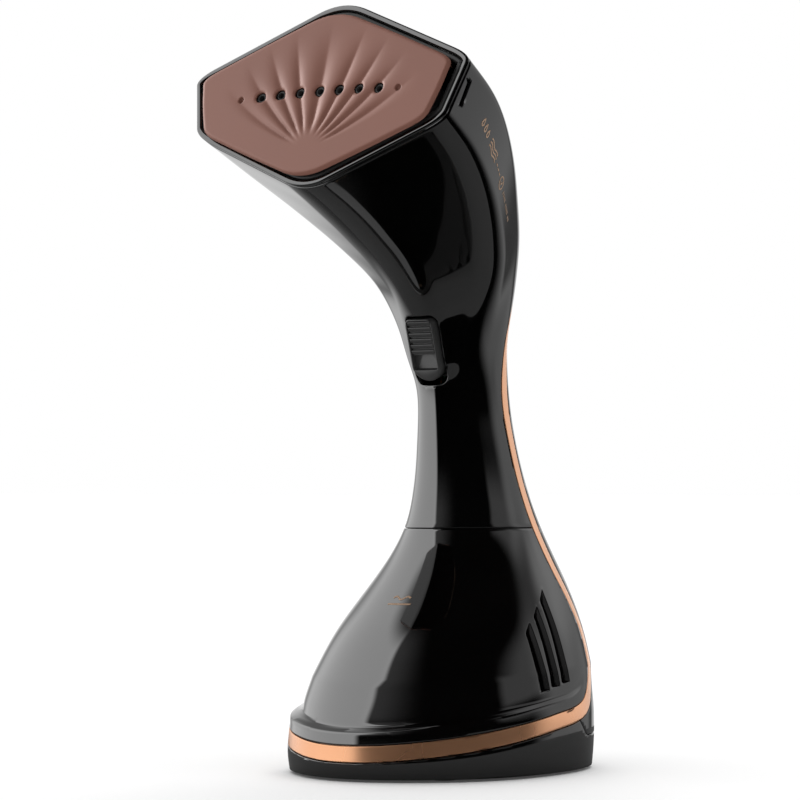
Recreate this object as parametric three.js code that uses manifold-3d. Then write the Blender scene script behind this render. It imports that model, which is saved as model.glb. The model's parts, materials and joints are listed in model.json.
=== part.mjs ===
// Hand-held garment steamer, standing on its base. Millimetres, +Z up, the steam plate faces -Y.
import * as THREE from 'three';
import { ParametricGeometry } from 'three/addons/geometries/ParametricGeometry.js';
import { mergeVertices } from 'three/addons/utils/BufferGeometryUtils.js';
import Module from 'manifold-3d';

const wasm = await Module();
wasm.setup();

// ---------- driving dimensions ----------
const baseAxisY = 11.16; // base axis, so that the origin is under the middle of the whole object
const bodyWall = 2.4;
const tankWall = 2.2;
const gap = 0.3; // between neighbouring solids
const partingZ = 91.6; // handle above, tank below
const baseLiftZ = 1.0; // shell edge above the floor
const coverSeamZ = 13.5; // base shell below, rear cover above
const trimWidth = 5.6;
const rimTilt = 70.3; // degrees, plane of the head rim
const rimY = -77.5;
const rimZ = 248.8;
const plateFront = 3.1; // plate face in front of the rim plane
const holePitch = 8.8;
const steamHoles = 9;
const triggerTilt = 107.4;
const pumpY = 44;
const pumpZ = 15;

// ---------- materials ----------
function material(color, roughness, metalness = 0) {
  return new THREE.MeshStandardMaterial({ color, roughness, metalness });
}

const glossBlack = material(0x0b0b0c, 0.12);
const smoke = material(0x14100f, 0.08);
const copper = material(0xd99b76, 0.35, 0.9);
const rose = material(0x91685e, 0.5, 0.6);
const darkPlastic = material(0x1b1b1c, 0.55);
const rubber = material(0x161616, 0.85);
const steel = material(0xa9abad, 0.35, 1);
const aluminium = material(0xb9bbbd, 0.45, 1);
const silicone = material(0xd8d6cf, 0.6);
const nylon = material(0xe6e2d6, 0.5);
const enamelCopper = material(0x8a3b1c, 0.4, 0.8);
const boardGreen = material(0x1f5a34, 0.5);

const steamer = new THREE.Group();
const body = new THREE.Group();
body.position.y = baseAxisY;
steamer.add(body);

function add(name, geometry, finish, parent = body) {
  const mesh = new THREE.Mesh(geometry, finish);
  mesh.name = name;
  parent.add(mesh);
  return mesh;
}

// ---------- solids ----------
function toSolid(geometry) {
  const bare = geometry.clone();
  bare.deleteAttribute('normal');
  bare.deleteAttribute('uv');
  const merged = mergeVertices(bare, 1e-4);
  const index = merged.index.array;
  const triangles = [];
  for (let i = 0; i < index.length; i += 3) {
    const [a, b, c] = index.slice(i, i + 3);
    if (a !== b && b !== c && c !== a) triangles.push(a, b, c);
  }
  return new wasm.Manifold(new wasm.Mesh({
    numProp: 3,
    vertProperties: new Float32Array(merged.attributes.position.array),
    triVerts: new Uint32Array(triangles),
  }));
}

function toGeometry(solid) {
  const mesh = solid.getMesh();
  const geometry = new THREE.BufferGeometry();
  geometry.setAttribute('position', new THREE.BufferAttribute(mesh.vertProperties, 3));
  geometry.setIndex(new THREE.BufferAttribute(mesh.triVerts, 1));
  return geometry;
}

function cylinder(radius, length, axis = 'z', sides = 20) {
  const geometry = new THREE.CylinderGeometry(radius, radius, length, sides);
  if (axis === 'z') geometry.rotateX(Math.PI / 2);
  if (axis === 'x') geometry.rotateZ(Math.PI / 2);
  return geometry;
}

function ring(outer, inner, length, axis = 'z', sides = 20) {
  const h = length / 2;
  const profile = [[inner, -h], [outer, -h], [outer, h], [inner, h], [inner, -h]];
  const geometry = new THREE.LatheGeometry(profile.map(([r, z]) => new THREE.Vector2(r, z)), sides);
  if (axis === 'z') geometry.rotateX(Math.PI / 2);
  if (axis === 'x') geometry.rotateZ(Math.PI / 2);
  return geometry;
}

function turned(profile, axis = 'z', sides = 20) {
  const geometry = new THREE.LatheGeometry(profile.map(([r, z]) => new THREE.Vector2(r, z)), sides);
  if (axis === 'z') geometry.rotateX(Math.PI / 2);
  if (axis === 'x') geometry.rotateZ(-Math.PI / 2);
  return geometry;
}

function box(x, y, z, at = [0, 0, 0]) {
  return new THREE.BoxGeometry(x, y, z).translate(...at);
}

function plate(shape, from, to) {
  return new THREE.ExtrudeGeometry(shape, { depth: to - from, bevelEnabled: false, curveSegments: 5 })
    .translate(0, 0, from);
}

function roundedBar(width, height, radius) {
  const shape = new THREE.Shape();
  const w = width / 2;
  const h = height / 2;
  shape.moveTo(-w + radius, -h);
  shape.lineTo(w - radius, -h);
  shape.absarc(w - radius, -h + radius, radius, -Math.PI / 2, 0);
  shape.absarc(w - radius, h - radius, radius, 0, Math.PI / 2);
  shape.absarc(-w + radius, h - radius, radius, Math.PI / 2, Math.PI);
  shape.absarc(-w + radius, -h + radius, radius, Math.PI, Math.PI * 1.5);
  return shape;
}

function tube(points, outer, inner, steps) {
  const section = new THREE.Shape().absarc(0, 0, outer, 0, Math.PI * 2);
  if (inner > 0) section.holes.push(new THREE.Path().absarc(0, 0, inner, 0, Math.PI * 2, true));
  const path = new THREE.CatmullRomCurve3(points.map((p) => new THREE.Vector3(...p)), false, 'centripetal');
  return new THREE.ExtrudeGeometry(section, { steps, curveSegments: 3, extrudePath: path });
}

class Helix extends THREE.Curve {
  constructor(radius, length, turns) {
    super();
    this.radius = radius;
    this.length = length;
    this.turns = turns;
  }

  getPoint(t, target = new THREE.Vector3()) {
    const angle = t * this.turns * Math.PI * 2;
    const height = (t - 0.5) * this.length;
    return target.set(Math.cos(angle) * this.radius, Math.sin(angle) * this.radius, height);
  }
}

function coilSpring(radius, wire, length, turns) {
  const section = new THREE.Shape().absarc(0, 0, wire, 0, Math.PI * 2);
  const path = new Helix(radius, length - wire * 2, turns);
  return new THREE.ExtrudeGeometry(section, { steps: turns * 10, curveSegments: 2.5, extrudePath: path });
}

// ---------- body surface ----------
// A section is a six-cornered outline on a plane through (y, z), tilted back by tilt degrees. Distances run from
// its centre: front and back points, and low and high side corners. nose and ridge are the corner roundings.
function section(y, z, tilt, front, low, high, back, nose, ridge) {
  return [y, z, tilt, front, low[0], low[1], high[0], high[1], back, nose, ridge];
}

function oval(y, z, tilt, halfWidth, front, back, nose = 1, ridge = 0.95) {
  const point = 1.143;
  const corner = 0.571;
  const low = [halfWidth, corner * front];
  const high = [halfWidth, corner * back];
  return section(y, z, tilt, point * front, low, high, point * back, nose, ridge);
}

const sections = [
  oval(0, 0, 0, 51.8, 66.6, 67),
  oval(0, 9, 3, 52.8, 67.4, 67.6),
  oval(0.3, 20, 8, 52.8, 67.6, 67.6),
  oval(0.6, 26, 8, 52.5, 67.2, 67.2),
  oval(4.5, 29, 7.5, 50.2, 64.8, 63.2),
  oval(7.8, 38, 3, 48.2, 62.6, 61.2),
  oval(12.8, 52, 0, 43, 56.3, 55.5),
  oval(18.2, 68, 0, 34.9, 46.6, 46.1),
  oval(20.9, 80, 0, 28.4, 38.3, 38),
  oval(21.6, partingZ, 0, 23.3, 31.4, 31.3),
  oval(19.8, 105, 0, 19.7, 26.7, 27),
  oval(16.9, 125, 0, 16.6, 23.2, 23.2),
  section(14.2, 145, 0, 24.6, [13.9, 14.2], [15.8, 12], 25.4, 1, 0.95),
  section(10.2, 160.5, 14, 25, [15.8, 15], [17.6, 13], 25.5, 1, 0.85),
  section(8.2, 175.5, 25, 28, [21.5, 12.5], [19.5, 19], 33, 0.9, 0.75),
  section(1.5, 190.5, 32, 29, [29.5, 8.5], [25, 21], 37, 0.7, 0.6),
  section(-10, 204.7, 40, 31, [37, 9.5], [33.5, 19], 37.5, 0.6, 0.5),
  section(-28.3, 220.2, 50, 33.3, [45, 10.5], [45.5, 16.5], 38.5, 0.5, 0.4),
  section(-53.5, 236.3, 60, 35.5, [52.4, 11.3], [57, 14.5], 39.5, 0.42, 0.32),
  section(rimY, rimZ, rimTilt, 37, [55.5, 11.8], [62, 12.5], 40, 0.35, 0.27),
];

function corners([, , , front, lowX, lowD, highX, highD, back, nose, ridge]) {
  return [
    { at: new THREE.Vector2(0, -front), round: nose },
    { at: new THREE.Vector2(lowX, -lowD), round: ridge },
    { at: new THREE.Vector2(highX, highD), round: ridge },
    { at: new THREE.Vector2(0, back), round: nose },
    { at: new THREE.Vector2(-highX, highD), round: ridge },
    { at: new THREE.Vector2(-lowX, -lowD), round: ridge },
  ];
}

function insetCorners(list, inset) {
  const count = list.length;
  return list.map(({ at, round }, i) => {
    const before = at.clone().sub(list[(i + count - 1) % count].at).normalize();
    const after = list[(i + 1) % count].at.clone().sub(at).normalize();
    const inward = new THREE.Vector2(-before.y - after.y, before.x + after.x).normalize();
    const half = Math.sqrt((1 + before.dot(after)) / 2);
    return { at: at.clone().addScaledVector(inward, inset / half), round };
  });
}

function outline(list, perCorner = 5) {
  const count = list.length;
  const points = [];
  list.forEach(({ at, round }, i) => {
    const start = at.clone().lerp(list[(i + count - 1) % count].at, round / 2);
    const end = at.clone().lerp(list[(i + 1) % count].at, round / 2);
    const arc = new THREE.QuadraticBezierCurve(start, at, end);
    for (let k = 0; k < perCorner; k += 1) points.push(arc.getPoint(k / (perCorner - 1)));
  });
  return points;
}

// Closed solid through all the sections, its skin moved inwards by inset and its ends pushed out by stretch.
function loft(inset, stretch = 0) {
  const last = sections.length - 1;
  const rings = sections.map((values, i) => {
    const [y, z, degrees] = values;
    const tilt = THREE.MathUtils.degToRad(degrees);
    let push = 0;
    if (i === 0) push = -stretch;
    if (i === last) push = stretch;
    const centre = new THREE.Vector3(0, y - Math.sin(tilt) * push, z + Math.cos(tilt) * push);
    const points = outline(insetCorners(corners(values), inset)).map((p) => new THREE.Vector3(
      p.x,
      centre.y + p.y * Math.cos(tilt),
      centre.z + p.y * Math.sin(tilt),
    ));
    return { centre, points };
  });
  const slices = rings[0].points.length;
  const stacks = rings.length + 1;
  const place = (u, v, target) => {
    const row = Math.round(v * stacks);
    const column = Math.round(u * slices) % slices;
    if (row === 0) return target.copy(rings[0].centre);
    if (row === stacks) return target.copy(rings[last].centre);
    return target.copy(rings[row - 1].points[column]);
  };
  return toSolid(new ParametricGeometry(place, slices, stacks));
}

const endStretch = 6;
const outside = loft(0);
const inside = loft(bodyWall, endStretch);
const tankInside = loft(tankWall, endStretch);
const tankClear = loft(tankWall + gap, endStretch);
const clearInside = loft(bodyWall + gap, endStretch);
const shellWall = outside.subtract(inside);

// ---------- side view ----------
// Middle line of the copper trim, from the front of the base, back along the tank and up the handle to the chin.
const trimLine = new THREE.SplineCurve([
  [-90, 6.8], [-67, 10], [-36, 15], [-4, 19.7], [13, 21.9], [24, 25], [32, 31.5], [37.5, 40], [39, 52],
  [36.5, 65], [34, 75], [31.2, 91.6], [26.3, 115], [22, 140], [22, 160], [26, 175], [34, 187], [48, 201],
].map(([y, z]) => new THREE.Vector2(y, z)));
const trimSteps = 34;

// Points beside the trim line: a positive distance lies towards the tank and the front housing.
function besideTrim(distance, from = 0, to = 1) {
  const points = [];
  for (let i = 0; i <= trimSteps; i += 1) {
    const t = from + (to - from) * (i / trimSteps);
    const tangent = trimLine.getTangent(t);
    points.push(trimLine.getPoint(t).add(new THREE.Vector2(-tangent.y, tangent.x).multiplyScalar(distance)));
  }
  return points;
}

// A side-view outline (y, z) carried right across the body.
function sideSolid(points, halfWidth = 80) {
  const shape = new THREE.Shape(points.map((p) => (Array.isArray(p) ? new THREE.Vector2(...p) : p)));
  const geometry = new THREE.ExtrudeGeometry(shape, { depth: halfWidth * 2, bevelEnabled: false });
  geometry.translate(0, 0, -halfWidth);
  const across = new THREE.Matrix4().makeBasis(
    new THREE.Vector3(0, 1, 0),
    new THREE.Vector3(0, 0, 1),
    new THREE.Vector3(1, 0, 0),
  );
  return toSolid(geometry.applyMatrix4(across));
}

const trimHalf = trimWidth / 2;
const frontSide = sideSolid([...besideTrim(trimHalf + gap), [60, 320], [-150, 320], [-150, 8]]);
const backSide = sideSolid([...besideTrim(-trimHalf - gap).reverse(), [-150, -20], [150, -20], [150, 300]]);

function slab(fromZ, toZ) {
  return sideSolid([[-150, fromZ], [150, fromZ], [150, toZ], [-150, toZ]]);
}

// ---------- frames for the head and the trigger ----------
const head = new THREE.Group();
head.position.set(0, rimY, rimZ);
head.rotation.x = THREE.MathUtils.degToRad(rimTilt);
body.add(head);

const triggerFrame = new THREE.Group();
triggerFrame.position.set(0, -12.4, 159);
triggerFrame.rotation.x = THREE.MathUtils.degToRad(triggerTilt);
body.add(triggerFrame);

function inFrame(geometry, frame) {
  frame.updateMatrix();
  return toSolid(geometry.clone().applyMatrix4(frame.matrix));
}

// ---------- outer shells ----------
const triggerWidth = 12.8;
const triggerHeight = 24.6;
const pivotUp = 16;
const pivotIn = -7;

function frontHousing() {
  const slot = plate(roundedBar(triggerWidth + 1.6, triggerHeight + 2.6, 3.2), -12, 12).translate(0, -0.3, 0);
  const clipSlot = box(160, 1.1, 9.6, [0, 0, 0]).rotateX(THREE.MathUtils.degToRad(-14.5)).translate(0, -71.1, 247);
  const solid = shellWall
    .intersect(frontSide)
    .intersect(slab(partingZ + gap / 2, 400))
    .subtract(inFrame(slot, triggerFrame))
    .subtract(toSolid(clipSlot));
  add('front_housing', toGeometry(solid), glossBlack);
}

function trimBand() {
  const ribbon = sideSolid([...besideTrim(trimHalf), ...besideTrim(-trimHalf).reverse()]);
  add('trim_band', toGeometry(shellWall.intersect(ribbon)), copper);
}

const glandZ = 37;
const glandY = 66.2;
const coverScrews = [[62.4, 62], [37.2, 128]];

function rearCover() {
  const lower = sideSolid([[14, 21.5], [23.3, coverSeamZ], [150, coverSeamZ], [150, 230], [0, 230], [0, 21.5]]);
  let solid = shellWall.intersect(backSide).intersect(lower);
  solid = solid.subtract(toSolid(cylinder(6.3, 20, 'y').translate(0, glandY, glandZ)));
  coverScrews.forEach(([y, z]) => {
    solid = solid.subtract(toSolid(cylinder(3.3, 16, 'y').translate(0, y, z)));
  });
  add('rear_cover', toGeometry(solid), glossBlack);
}

function baseShell() {
  const seam = coverSeamZ - gap;
  const lower = sideSolid([[-150, baseLiftZ], [150, baseLiftZ], [150, seam], [23.1, seam], [13.6, 21.3], [-150, 21.3]]);
  add('base_shell', toGeometry(shellWall.intersect(backSide).intersect(lower)), glossBlack);
}

const footSpots = [[-26, -38], [26, -38], [-28, 38], [28, 38]];
const screwSpots = [[-14, -46], [14, -46], [-38, 14], [38, 14]];

function baseUnderside() {
  let solid = clearInside.intersect(slab(1.8, 4));
  screwSpots.forEach(([x, y]) => {
    solid = solid.subtract(toSolid(cylinder(2.9, 8).translate(x, y, 3)));
  });
  add('base_plate', toGeometry(solid), darkPlastic);
  footSpots.forEach(([x, y], i) => {
    add(`foot_${i + 1}`, turned([[0, 0], [5.2, 0], [5.8, 0.6], [5.8, 1.5], [0, 1.5]], 'z', 16), rubber)
      .position.set(x, y, 0);
  });
  screwSpots.forEach(([x, y], i) => {
    const profile = [[0, 1.9], [2.6, 1.9], [2.6, 3.9], [1.4, 3.9], [1.4, 9], [0, 9]];
    add(`base_screw_${i + 1}`, turned(profile, 'z', 14), steel).position.set(x, y, 0);
  });
  coverScrews.forEach(([y, z], i) => {
    const profile = [[0, 0], [3, 0], [3, -2], [1.4, -2], [1.4, -9], [0, -9]].reverse();
    add(`cover_screw_${i + 1}`, turned(profile, 'y', 14), steel).position.set(0, y, z);
  });
}

// ---------- water tank ----------
const valveZ = 47;
const valveY = 29.7;
const fillY = 20;

function tankShell() {
  const floorLine = besideTrim(trimHalf + gap + tankWall, 0, 0.27);
  const roofZ = partingZ - gap / 2 - tankWall;
  const end = floorLine[floorLine.length - 1];
  const cavity = sideSolid([...floorLine, [70, end.y], [70, roofZ], [-150, roofZ], [-150, 12]]);
  const solid = outside
    .intersect(frontSide)
    .intersect(slab(-10, partingZ - gap / 2))
    .subtract(tankInside.intersect(cavity))
    .subtract(toSolid(cylinder(6.3, 12).translate(0, fillY, partingZ)));
  add('tank_shell', toGeometry(solid), smoke);
  return end.y;
}

function tankBack(floorZ) {
  const strip = sideSolid([...besideTrim(trimHalf + gap, 0.3, 0.8), ...besideTrim(5.3, 0.3, 0.8).reverse()]);
  const solid = tankClear
    .intersect(strip)
    .intersect(slab(floorZ + gap, partingZ - tankWall - gap * 2))
    .subtract(toSolid(cylinder(5.3, 30, 'y').translate(0, valveY, valveZ)));
  add('tank_back_wall', toGeometry(solid), smoke);
}

function tankFittings() {
  const plug = turned([[0, -8], [4.2, -8], [5.2, -2.6], [5.9, -2.2], [5.9, 0.1], [7.4, 0.1], [7.4, 1.4], [0, 1.4]], 'z');
  add('tank_fill_plug', plug, rubber).position.set(0, fillY, partingZ);
  const seat = turned([[3, -9], [5, -9], [5, 6.5], [1.6, 6.5], [1.6, 5], [3, 5], [3, -9]], 'y');
  add('valve_seat', seat, nylon).position.set(0, valveY, valveZ);
  const plunger = turned([[0, -2], [1, -2], [1, 1.8], [2.5, 1.8], [2.5, 4.6], [1.1, 4.6], [1.1, 8], [0, 8]], 'y', 16);
  add('valve_plunger', plunger, nylon).position.set(0, valveY, valveZ);
  const spring = coilSpring(1.9, 0.3, 9, 4);
  spring.rotateX(-Math.PI / 2);
  add('valve_spring', spring, steel).position.set(0, valveY - 3.2, valveZ);
  const route = [[0, valveY - 9.4, valveZ], [0, 12, 44], [0, 2, 37], [0, -9, 30.5], [0, -20, 28.4]];
  add('pickup_tube', tube(route, 2, 1.2, 14), silicone);
  const strainer = turned([[0, -5], [3.2, -5], [3.6, -4.4], [3.6, 4.4], [3.2, 5], [0, 5]], 'y');
  add('pickup_filter', strainer, nylon).position.set(0, -25.4, 28.4);
}

function tankCradle() {
  const strip = sideSolid([...besideTrim(2.6, 0.07, 0.66), ...besideTrim(0.6, 0.07, 0.66).reverse()]);
  const solid = clearInside
    .intersect(strip)
    .intersect(slab(4.6, partingZ - 2))
    .subtract(toSolid(cylinder(6.8, 40, 'y').translate(0, 40, valveZ)));
  add('tank_cradle', toGeometry(solid), darkPlastic);
  add('dock_seal', ring(6.4, 5.4, 1.8, 'y'), rubber).position.set(0, 37.4, valveZ);
}

// ---------- head ----------
const plateCorners = [
  { at: new THREE.Vector2(0, -34), round: 0.38 },
  { at: new THREE.Vector2(49.6, -13), round: 0.24 },
  { at: new THREE.Vector2(56.2, 10.4), round: 0.24 },
  { at: new THREE.Vector2(0, 34.8), round: 0.38 },
  { at: new THREE.Vector2(-56.2, 10.4), round: 0.24 },
  { at: new THREE.Vector2(-49.6, -13), round: 0.24 },
];

function plateOutline(inset) {
  return outline(insetCorners(plateCorners, inset));
}

function holeSpot(i) {
  const middle = (steamHoles - 1) / 2;
  return [(i - middle) * holePitch, 1.4 - 1.34 * ((i - middle) / middle) ** 2];
}

function holed(shape, radius, from, to) {
  for (let i = from; i <= to; i += 1) {
    const [x, y] = holeSpot(i);
    shape.holes.push(new THREE.Path().absarc(x, y, radius, 0, Math.PI * 2, true));
  }
  return shape;
}

function soleplate() {
  const face = toSolid(plate(holed(new THREE.Shape(plateOutline(0)), 2.05, 1, 7), 0.6, plateFront));
  const core = toSolid(plate(holed(new THREE.Shape(plateOutline(8)), 2.05, 1, 7), -3.2, 0.7));
  let solid = face.add(core);
  [0, 8].forEach((i) => {
    const [x, y] = holeSpot(i);
    solid = solid.subtract(toSolid(cylinder(1.15, 2.4, 'z', 12).translate(x, y, plateFront)));
  });
  add('soleplate', toGeometry(solid), rose, head);
  for (let i = 1; i < steamHoles - 1; i += 1) {
    const [x, y] = holeSpot(i);
    const nozzle = turned([[0.9, -3], [1.75, -3], [1.75, 2.4], [0.9, 1.6], [0.9, -3]], 'z', 10);
    add(`steam_nozzle_${i}`, nozzle, darkPlastic, head).position.set(x, y, 0);
  }
}

function bezel() {
  const edge = insetCorners(corners(sections[sections.length - 1]), bodyWall + gap);
  const shape = new THREE.Shape(outline(edge));
  shape.holes.push(new THREE.Path(outline(insetCorners(edge, 2.4)).reverse()));
  const solid = inFrame(plate(shape, -4.5, 0.2), head).intersect(clearInside);
  add('head_bezel', toGeometry(solid), darkPlastic);
}

function boiler() {
  const bodyShape = new THREE.Shape(plateOutline(9));
  const chamber = toSolid(plate(new THREE.Shape(plateOutline(13)), -16, -7));
  const inlet = toSolid(cylinder(3, 8, 'z', 14).translate(22, 2, -18));
  const casting = toSolid(plate(bodyShape, -24, -7.7)).subtract(chamber).subtract(inlet.translate(0, 0, -5));
  add('boiler_body', toGeometry(casting), aluminium, head);
  add('boiler_cover', plate(holed(new THREE.Shape(plateOutline(9)), 1.2, 1, 7), -7.4, -4.9), aluminium, head);
  const bend = [[-14, 15, -27], [-28, 9, -27], [-31, -4, -27], [-16, -13, -27]];
  const mirrored = bend.map(([x, y, z]) => [-x, y, z]).reverse();
  const loop = [...bend, ...mirrored].map(([x, y, z]) => [x, x > 16 && y > -5 ? y + 3 : y, z]);
  add('heating_element', tube(loop, 2.3, 0, 26), steel, head);
  add('thermostat', turned([[0, -31], [6, -31], [6, -26], [7.6, -26], [7.6, -24.3], [0, -24.3]]), steel, head);
  add('thermal_fuse', cylinder(2, 13, 'x', 12), nylon, head).position.set(0, 9.8, -26.6);
  const shield = new THREE.Shape(plateOutline(9));
  shield.holes.push(new THREE.Path().absarc(22, 2, 4, 0, Math.PI * 2, true));
  add('heat_shield', plate(shield, -34.6, -33.6), aluminium, head);
}

// ---------- pump and hoses ----------
function pump() {
  add('pump_body', ring(5.2, 3.9, 48, 'x'), nylon).position.set(0, pumpY, pumpZ);
  add('pump_coil', ring(8.6, 5.5, 26, 'x', 24), enamelCopper).position.set(0, pumpY, pumpZ);
  add('pump_piston', cylinder(3.5, 20, 'x', 16), steel).position.set(-4, pumpY, pumpZ);
  const spring = coilSpring(2.9, 0.4, 12, 5).rotateY(Math.PI / 2);
  add('pump_spring', spring, steel).position.set(13.4, pumpY, pumpZ);
  const yoke = new THREE.Shape([[-16, -10.4], [16, -10.4], [16, 9], [14.4, 9], [14.4, -9], [-14.4, -9], [-14.4, 9], [-16, 9]]
    .map(([x, z]) => new THREE.Vector2(x, z)));
  const bracket = toSolid(plate(yoke, -8, 8).rotateX(Math.PI / 2)).subtract(toSolid(cylinder(5.5, 60, 'x')));
  add('pump_bracket', toGeometry(bracket), steel).position.set(0, pumpY, pumpZ);
  const suction = [[0, 39.2, valveZ], [-3, 43, 43], [-16, 48, 35], [-29, 48, 25], [-31.4, 45, 17], [-28, pumpY, pumpZ],
    [-24.4, pumpY, pumpZ]];
  add('suction_hose', tube(suction, 2.4, 1.5, 16), silicone);
  const pressure = [[24.4, pumpY, pumpZ], [28, pumpY, pumpZ], [31.4, 44.5, 18], [27, 45, 30], [18, 46, 50], [12, 43, 72],
    [8, 35, 95], [7, 28, 118], [6, 25, 142], [6, 23, 162], [6, 18, 180], [8, 4, 202], [14, -16, 220],
    [21, -38, 236.6], [22, -53.4, 242.3]];
  add('pressure_hose', tube(pressure, 2.4, 1.5, 36), silicone);
}

// ---------- trigger ----------
const springUp = 4.3;
const springLength = 8.4;
const springSeat = 2;
const bracketFace = -17;
const pocketUp = 11.8;
const pocketDown = -7.6;
const sliderHeight = 13.4;

function trigger() {
  const cap = toSolid(plate(roundedBar(triggerWidth, triggerHeight, 2.6), -6, 1));
  const pocket = toSolid(box(10.8, pocketUp - pocketDown, 6, [0, (pocketUp + pocketDown) / 2, 1.2]));
  const arm = toSolid(box(8, 9, 4, [0, pivotUp - 4, pivotIn]));
  const boss = toSolid(cylinder(3, 8, 'x').translate(0, pivotUp, pivotIn));
  const bore = toSolid(cylinder(1.55, 12, 'x', 16).translate(0, pivotUp, pivotIn));
  const foot = toSolid(box(5, 5, 1.8, [0, -6, -6.8]));
  add('steam_trigger', toGeometry(cap.subtract(pocket).add(arm).add(boss).add(foot).subtract(bore)),
    darkPlastic, triggerFrame);
  add('trigger_pin', cylinder(1.25, 15, 'x', 14), steel, triggerFrame).position.set(0, pivotUp, pivotIn);
  add('trigger_spring', coilSpring(2.4, 0.35, springLength, 4), steel, triggerFrame)
    .position.set(0, springUp, bracketFace + springSeat + gap + springLength / 2);
}

function lockSlider() {
  const ribs = 6;
  const pitch = sliderHeight / ribs;
  const points = [[-1.5, -sliderHeight / 2]];
  for (let i = 0; i < ribs; i += 1) {
    const y = -sliderHeight / 2 + i * pitch;
    points.push([1.2, y], [2.1, y + pitch * 0.3], [2.1, y + pitch * 0.6], [1.2, y + pitch * 0.95]);
  }
  points.push([1.2, sliderHeight / 2], [-1.5, sliderHeight / 2]);
  const shape = new THREE.Shape(points.map(([z, y]) => new THREE.Vector2(y, z)));
  const geometry = new THREE.ExtrudeGeometry(shape, { depth: 10.2, bevelEnabled: false }).translate(0, 0, -5.1);
  geometry.applyMatrix4(new THREE.Matrix4().makeBasis(
    new THREE.Vector3(0, 1, 0),
    new THREE.Vector3(0, 0, 1),
    new THREE.Vector3(1, 0, 0),
  ));
  add('lock_slider', geometry, glossBlack, triggerFrame).position.set(0, pocketUp - 0.3 - sliderHeight / 2, 0);
}

function microswitch() {
  const block = toSolid(box(8, 14, 6.4, [0, -6, -13.4]));
  const well = toSolid(box(3.6, 3.6, 3, [0, -6, -10.6]));
  add('microswitch_body', toGeometry(block.subtract(well)), darkPlastic, triggerFrame);
  add('microswitch_button', box(3, 3, 1.9, [0, -6, -9]), nylon, triggerFrame);
  let bracket = toSolid(box(18, 34, 1.6, [0, 2, bracketFace - 0.8]));
  bracket = bracket.add(toSolid(cylinder(3.2, springSeat + 0.2).translate(0, springUp, bracketFace + springSeat / 2)));
  [-1, 1].forEach((side) => {
    bracket = bracket.add(toSolid(box(2, 6, 12.2, [side * 6, pivotUp, bracketFace + 6])));
  });
  bracket = bracket.subtract(toSolid(cylinder(1.55, 20, 'x', 16).translate(0, pivotUp, pivotIn)));
  add('switch_bracket', toGeometry(bracket), darkPlastic, triggerFrame);
}

// ---------- electrics ----------
function electrics() {
  add('circuit_board', box(22, 1.6, 44, [0, 17, 129]), boardGreen);
  add('relay', box(15, 10, 18, [0, 10.9, 120]), darkPlastic);
  add('capacitor', cylinder(5, 12, 'y', 16), aluminium).position.set(0, 9.8, 139);
  add('terminal_block', box(16, 9, 8, [-10.5, 44, 71]), nylon);
  const gland = turned([[3.6, -7], [7.4, -7], [7.4, -4], [6, -3.8], [6, 1.6], [5, 2.4], [3.6, 2.4], [3.6, -7]], 'y', 24);
  add('cord_gland', gland, rubber).position.set(0, glandY, glandZ);
  add('cord_clamp', box(20, 5, 7, [0, 53.4, 30]), nylon);
}

frontHousing();
trimBand();
rearCover();
baseShell();
baseUnderside();
tankBack(tankShell());
tankFittings();
tankCradle();
soleplate();
bezel();
boiler();
pump();
trigger();
lockSlider();
microswitch();
electrics();

export default steamer;
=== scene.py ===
import json
import math

import bmesh
import bpy
import numpy as np
from mathutils import Matrix, Vector
from mathutils.bvhtree import BVHTree


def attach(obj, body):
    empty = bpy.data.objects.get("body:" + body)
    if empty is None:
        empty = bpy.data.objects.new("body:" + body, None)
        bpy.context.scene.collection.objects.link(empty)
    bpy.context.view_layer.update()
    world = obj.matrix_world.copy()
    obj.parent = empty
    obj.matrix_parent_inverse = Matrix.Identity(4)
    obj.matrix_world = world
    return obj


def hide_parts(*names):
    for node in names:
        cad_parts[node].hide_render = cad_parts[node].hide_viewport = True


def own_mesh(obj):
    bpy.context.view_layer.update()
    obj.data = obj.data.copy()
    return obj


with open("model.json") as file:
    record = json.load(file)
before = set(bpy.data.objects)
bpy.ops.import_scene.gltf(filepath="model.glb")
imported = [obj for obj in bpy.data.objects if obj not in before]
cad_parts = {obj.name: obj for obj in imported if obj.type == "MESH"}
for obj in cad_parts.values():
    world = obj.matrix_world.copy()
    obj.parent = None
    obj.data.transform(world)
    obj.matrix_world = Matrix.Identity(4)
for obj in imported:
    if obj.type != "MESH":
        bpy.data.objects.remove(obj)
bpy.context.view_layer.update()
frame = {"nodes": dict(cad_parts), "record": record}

# Garment steamer. Shapes are worked out in millimetres from the base axis, then placed in the row frame.
mm = 0.001
scene = bpy.context.scene

body = {
    "axisY": 11.16,  # base axis, behind the origin
    "wall": 2.4,
    "gap": 0.3,
    "trimWidth": 5.6,
    "partingZ": 91.6,  # handle above, tank below
    "seamZ": 13.5,  # base shell below, rear cover above
    "liftZ": 1.0,
    "creaseStation": 5,  # where the tank's slope breaks
    "columnsPerCorner": 32,
    "rowStep": 1.6,
    "fineRowStep": 0.75,
    "edgeRound": 0.42,
    "trueUp": (0.9986, 0.9993, 1),  # keeps the smooth skin within the faceted one
}


# Body surface.
# A section is a six-cornered outline on a plane through (y, z), tilted back by tilt degrees. Distances run
# from its centre: front and back points, and low and high side corners. nose and ridge are the roundings.
def section(y, z, tilt, front, low, high, back, nose, ridge):
    return [y, z, tilt, front, *low, *high, back, nose, ridge]


def oval(y, z, tilt, halfWidth, front, back, nose=1, ridge=0.95):
    point, corner = 1.143, 0.571
    return section(
        y, z, tilt, point * front, [halfWidth, corner * front], [halfWidth, corner * back], point * back,
        nose, ridge,
    )


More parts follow.
